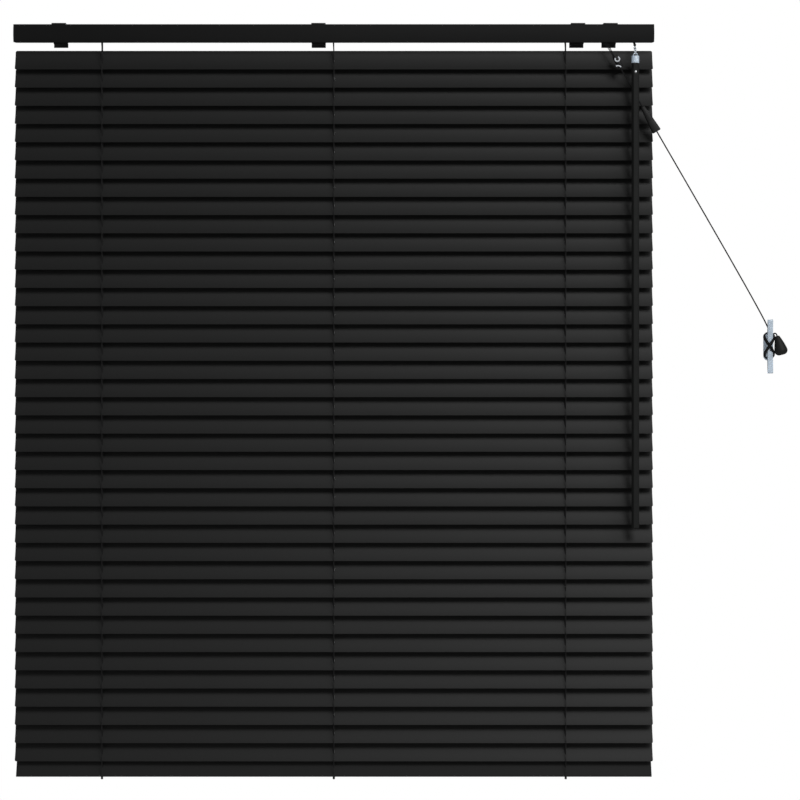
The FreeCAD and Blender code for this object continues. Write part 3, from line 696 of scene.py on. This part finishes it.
def headrail_parts():
    """Edges broken on what shows. What turns inside the headrail keeps its CAD shape."""
    for node, material, width, slot in (
        ("headrail", RAIL_PAINT, 0.22, "black_aluminium"),
        ("headrail_end_caps", DARK_PLASTIC, 0.3, "black_plastic"),
        ("mounting_brackets", STEEL_PAINT, 0.25, "painted_steel"),
        ("tilter_housing", GREY_PLASTIC, 0.25, "grey_plastic"),
        ("drum_cradles", GREY_PLASTIC, 0.2, "grey_plastic"),
        ("cord_lock", GREY_PLASTIC, 0.25, "grey_plastic"),
    ):
        softened(node, "blind_head", material, width)
    for node, material in (
        ("tilt_rod", STEEL),
        ("tilt_drums", GREY_PLASTIC),
        ("tilter_worm", BLACK_PLASTIC),
        ("tilter_gear", GREY_PLASTIC),
    ):
        obj = frame["nodes"][node]
        obj.data.materials.clear()
        obj.data.materials.append(material)


headrail_parts()

# ------------------------------------------------------------------ wand

PIN_DROP = 10.2
SLEEVE_RADIUS = 4.5
SLEEVE_TOP = -27.6
EYE_HALF_WIDTH = 2.7
EYE_HEIGHT = 3.7
EYE_RADIUS = 0.42
LINK_RADIUS = 1.35


def wand():
    """Hexagonal bar with softened corners and ends."""
    half = (WAND_HIGH.x - WAND_LOW.x) / 2
    corner = 0.45
    outline = []
    for k in range(6):
        angle = TAU * k / 6
        for j in range(5):
            turn = angle + math.radians(60) * (j / 4 - 0.5)
            reach = half - corner / math.cos(math.radians(30))
            outline.append((
                reach * math.cos(angle) + corner * math.cos(turn),
                reach * math.sin(angle) + corner * math.sin(turn),
            ))
    bm = bmesh.new()
    levels = ((WAND_HIGH.z, 0.86), (WAND_HIGH.z - 0.2, 0.95), (WAND_HIGH.z - 0.6, 1.0),
              (WAND_LOW.z + 0.8, 1.0), (WAND_LOW.z + 0.3, 0.94), (WAND_LOW.z, 0.82))
    rings = [[bm.verts.new(mm(WAND_X + x * s, WAND_Y + y * s, z)) for x, y in outline] for z, s in levels]
    for one, two in zip(rings, rings[1:]):
        for k in range(len(outline)):
            after = (k + 1) % len(outline)
            bm.faces.new((one[k], one[after], two[after], two[k]))
    bm.faces.new(rings[0])
    bm.faces.new(rings[-1])
    bar = by_angle(from_bmesh("wand_bar", bm), 24)
    finished(bar, "wand_bar", WAND_PLASTIC, ("wand",))
    front = WAND_Y - half * math.cos(math.radians(30))
    profile = [(0.0, 0.35), (0.9, 0.3), (1.45, 0.0), (1.6, -0.35), (1.6, -1.6)]
    place = Vector((WAND_X, front - 0.1, WAND_HIGH.z - PIN_DROP))
    pin = revolved("wand_pin", profile, place, (0, -1, 0), steps=28)
    finished(pin, "wand_bar", STEEL)


def connector():
    """Clear sleeve with an arched eye, and the clear link that hangs it on the stem."""
    low, high = box_mm("wand_connector")
    radius = SLEEVE_RADIUS
    bottom = low.z
    shoulder = SLEEVE_TOP
    profile = [(0.0, bottom), (radius - 0.3, bottom), (radius, bottom + 0.3), (radius, shoulder - 0.3),
               (radius - 0.1, shoulder - 0.08), (radius - 0.3, shoulder), (0.0, shoulder)]
    sleeve = revolved("wand_sleeve", profile, Vector((WAND_X, WAND_Y, 0)), steps=48)
    finished(sleeve, "wand_hook", CLEAR, ("wand_connector",))
    arch = []
    for k in range(17):
        angle = math.pi * k / 16
        arch.append((
            WAND_X + EYE_HALF_WIDTH * math.cos(angle),
            WAND_Y,
            shoulder - 0.3 + EYE_HEIGHT * math.sin(angle),
        ))
    eye = rods("wand_eye", [arch], EYE_RADIUS, steps=12)
    finished(eye, "wand_hook", CLEAR)
    top = high.z
    bend = top - 2.6
    link = [(WAND_X, STEM_BALL.y, top), (WAND_X, STEM_BALL.y, bend + 1.4)]
    for k in range(1, 8):
        angle = math.pi / 2 * k / 8
        link.append((WAND_X, STEM_BALL.y - 1.5 * (1 - math.cos(angle)), bend + 1.4 - 1.5 * math.sin(angle)))
    run_z = bend - 0.1
    link.append((WAND_X, WAND_Y + 1.6, run_z))
    for k in range(1, 8):
        angle = math.pi / 2 * k / 8
        link.append((WAND_X, WAND_Y + 1.6 - 1.6 * math.sin(angle), run_z - 1.6 * (1 - math.cos(angle))))
    link.append((WAND_X, WAND_Y, shoulder + 1.7))
    hook = rods("wand_link", [link], LINK_RADIUS, steps=16)
    finished(hook, "wand_hook", CLEAR_LINK)


wand()
connector()

# ------------------------------------------------------------------ slats

SLOT_HALF_LENGTH = 3.5
SLOT_HALF_WIDTH = 0.78
SLOT_FRAME = 3
SLOT_ROWS = 4
ACROSS = 16
RUNG_ASIDE = 0.96
RUNG_RADIUS = 0.26
OUT_OF_TRUE = 0.35
ARC_CENTRE = math.sqrt(SLAT_CROWN**2 - (SLAT_WIDTH / 2) ** 2)
HALF_ARC = math.asin(SLAT_WIDTH / 2 / SLAT_CROWN)


def curved(x, v, deep):
    """Point of the slat's flat-lying section: v runs over the arc from -1 at the front edge to 1."""
    angle = HALF_ARC * v
    radius = SLAT_CROWN + deep
    return Vector((x, radius * math.sin(angle), ARC_CENTRE - radius * math.cos(angle)))


def slat_stations():
    """X positions of the slat's grid, close together at its ends and its slots."""
    half = SLAT_LENGTH / 2
    ends = [half, half - 0.12, half - 0.5, half - 1.1, half - 2.0]
    stations = set(ends) | {-x for x in ends}
    for ladder in LADDERS:
        stations |= {ladder + k for k in range(-SLOT_FRAME, SLOT_FRAME + 1)}
    marks = sorted(stations)
    filled = []
    for one, two in zip(marks, marks[1:]):
        filled.append(one)
        gap = two - one
        if gap > 50:
            filled += [one + gap * k / 6 for k in range(1, 6)]
    return filled + [marks[-1]]


def slat_mesh():
    """One slat lying flat about its own axis, with rounded corners and three cord slots."""
    stations = slat_stations()
    corner = 2.0
    half = SLAT_LENGTH / 2
    bm = bmesh.new()
    grid = {}
    for i, x in enumerate(stations):
        inset = max(0.0, abs(x) - (half - corner))
        cut = corner - math.sqrt(max(0.0, corner**2 - inset**2))
        reach = 1 - cut / (SLAT_WIDTH / 2)
        for j in range(ACROSS + 1):
            grid[i, j] = bm.verts.new(curved(x, reach * (2 * j / ACROSS - 1), 0.0))
    low, high = ACROSS // 2 - SLOT_ROWS, ACROSS // 2 + SLOT_ROWS
    holes = []
    for ladder in LADDERS:
        first = stations.index(ladder - SLOT_FRAME)
        holes.append((first, first + 2 * SLOT_FRAME))
    for i in range(len(stations) - 1):
        for j in range(ACROSS):
            inside = any(a <= i < b for a, b in holes) and low <= j < high
            if not inside:
                bm.faces.new((grid[i, j], grid[i + 1, j], grid[i + 1, j + 1], grid[i, j + 1]))
    for ladder, (a, b) in zip(LADDERS, holes):
        ring = [(i, low) for i in range(a, b)] + [(b, j) for j in range(low, high)]
        ring += [(i, high) for i in range(b, a, -1)] + [(a, j) for j in range(high, low, -1)]
        inner = []
        for i, j in ring:
            outer = grid[i, j].co - Vector((ladder, 0, 0))
            flat = Vector((outer.x, outer.y))
            straight = SLOT_HALF_LENGTH - SLOT_HALF_WIDTH
            core = Vector((0, max(-straight, min(straight, flat.y * straight / 6.2))))
            away = (flat - core).normalized() * SLOT_HALF_WIDTH + core
            v = math.asin(away.y / SLAT_CROWN) / HALF_ARC
            inner.append(bm.verts.new(curved(ladder + away.x, v, 0.0)))
        for k in range(len(ring)):
            after = (k + 1) % len(ring)
            bm.faces.new((grid[ring[k]], grid[ring[after]], inner[after], inner[k]))
    bm.normal_update()
    front = bm.verts[:]
    faces = bm.faces[:]
    rim = [edge for edge in bm.edges if len(edge.link_faces) == 1]
    back = {}
    for vertex in front:
        away = Vector((0, vertex.co.y, vertex.co.z - ARC_CENTRE)).normalized()
        back[vertex] = bm.verts.new(vertex.co + away * SLAT_THICK)
    for face in faces:
        bm.faces.new([back[v] for v in reversed(face.verts)])
    for edge in rim:
        one, two = edge.verts
        bm.faces.new((one, two, back[two], back[one]))
    bmesh.ops.recalc_face_normals(bm, faces=bm.faces[:])
    for vertex in bm.verts:
        vertex.co *= MM
    mesh = bpy.data.meshes.new("slat")
    bm.to_mesh(mesh)
    bm.free()
    mesh.materials.append(SLAT_PAINT)
    return mesh


def slats():
    """All slats share one mesh. Each hangs a hair out of true, as they do on their strings."""
    shared = slat_mesh()
    first = bpy.data.objects.new("slat_pattern", shared)
    bpy.context.scene.collection.objects.link(first)
    by_angle(first, 40)
    bpy.data.objects.remove(first)
    for node in SLAT_NODES:
        joint = JOINTS[node + "_tilt"]
        blade = bpy.data.objects.new(node + "_sheet", shared)
        bpy.context.scene.collection.objects.link(blade)
        blade.location = joint["pos_m"]
        out_of_true = math.radians(random.uniform(-OUT_OF_TRUE, OUT_OF_TRUE))
        blade.rotation_euler = (CLOSED + out_of_true, 0, 0)
        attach(blade, node + "_blade")
        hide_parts(node)


def rungs():
    """Two thin cross strings under each slat at each ladder, one tied each side of the slots."""
    for node in SLAT_NODES:
        x, y, z = (c / MM for c in JOINTS[node + "_tilt"]["pos_m"])
        routes = []
        turn = Matrix.Rotation(CLOSED, 3, "X")
        for ladder in LADDERS:
            for side in (-RUNG_ASIDE, RUNG_ASIDE):
                line = []
                for k in range(9):
                    v = -1.02 + 2.04 * k / 8
                    pinch = min(1.0, 2.2 * (1.03 - abs(v)))
                    point = turn @ curved(0, v, SLAT_THICK + 0.28)
                    line.append((ladder + side * pinch, y + point.y, z + point.z))
                routes.append(line)
        piece = rods(node + "_rungs", routes, RUNG_RADIUS, steps=8)
        finished(piece, node + "_blade", STRING)


slats()
rungs()

# ------------------------------------------------------------------ ladder strings and lift cords

STRING_RADIUS = 0.38
LIFT_RADIUS = 0.7


def hanging(y, top, bottom):
    """Straight strings from top to bottom, one at each ladder."""
    return [[(x, y, top), (x, y, (top + bottom) / 2), (x, y, bottom)] for x in LADDERS]


def ladders():
    """Strings that move with the slats, and above them the lengths that stay with the headrail."""
    front_top = FIRST_Z - EDGE_Z + 3.0
    front_low = BOTTOM_Z - 8.6
    front = rods("front_ladder_strings", hanging(FRONT_STRING_Y, front_top, front_low), STRING_RADIUS)
    finished(front, "front_ladders", STRING, ("ladder_front_strings",))
    back_top = RAIL_FLOOR + 19.2
    back_low = BOTTOM_Z + 12.6
    back = rods("back_ladder_strings", hanging(BACK_STRING_Y, back_top, back_low), STRING_RADIUS)
    finished(back, "back_ladders", STRING, ("ladder_back_strings",))
    head_lines = hanging(FRONT_STRING_Y, RAIL_FLOOR + 8.0, front_top - 0.5)
    heads = rods("front_ladder_heads", head_lines, STRING_RADIUS + 0.02)
    finished(heads, "blind_head", STRING)
    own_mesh(heads)
    stub_lines = hanging(BACK_STRING_Y, RAIL_FLOOR + 6.0, FIRST_Z + EDGE_Z)
    stubs = rods("back_ladder_heads", stub_lines, STRING_RADIUS + 0.05)
    finished(stubs, "blind_head", STRING)


def slat_lift_cords():
    """Lift cords from the cradles down through the slats' slots to the bottom rail."""
    routes = [
        [(x - 1.0, LINE_Y, -4.0), (x, LINE_Y, -19.0), (x, LINE_Y, BOTTOM_Z / 2), (x, LINE_Y, BOTTOM_Z - 0.8)]
        for x in LADDERS
    ]
    cords = rods("slat_lift_cords", routes, LIFT_RADIUS)
    # Their darkened braid paints the shade in the slots.
    finished(cords, "blind_head", LIFT)


ladders()
slat_lift_cords()

# ------------------------------------------------------------------ bottom rail


def bottom_outline():
    """Section of the bottom rail lying flat: a slightly hollow face over a shallow box."""
    half = 12.3
    deep = 6.0
    points = arc((-half, -1.4), (-half + 0.3, -0.4), (-half + 1.2, 0.0), 5)
    points += arc((-half + 1.2, 0.0), (0.0, -0.35), (half - 1.2, 0.0), 12)
    points += arc((half - 1.2, 0.0), (half - 0.3, -0.4), (half, -1.4), 5)
    points += [(half, -1.4), (half - 1.6, -deep + 1.0)]
    points += arc((half - 1.6, -deep + 1.0), (half - 2.1, -deep + 0.3), (half - 3.0, -deep), 4)[1:]
    points += [(half - 3.0, -deep), (-half + 3.0, -deep)]
    points += arc((-half + 3.0, -deep), (-half + 2.1, -deep + 0.3), (-half + 1.6, -deep + 1.0), 4)[1:]
    points.append((-half + 1.6, -deep + 1.0))
    return points


def standing(outline):
    """Turns a flat-lying outline to where the closed bottom rail stands."""
    c, s = math.cos(CLOSED), math.sin(CLOSED)
    return [(LINE_Y + y * c - z * s, BOTTOM_Z + y * s + z * c) for y, z in outline]


def bottom_rail():
    """Painted tube between its plastic end caps."""
    low, high = box_mm("bottom_rail")
    tube = prism("bottom_rail_tube", standing(bottom_outline()), low.x + 0.15, high.x - 0.15)
    by_angle(tube, 30)
    finished(tube, "bottom_bar", BAR_PAINT, ("bottom_rail",))
    softened("bottom_rail_caps", "bottom_bar", BLACK_PLASTIC, 0.25)


bottom_rail()
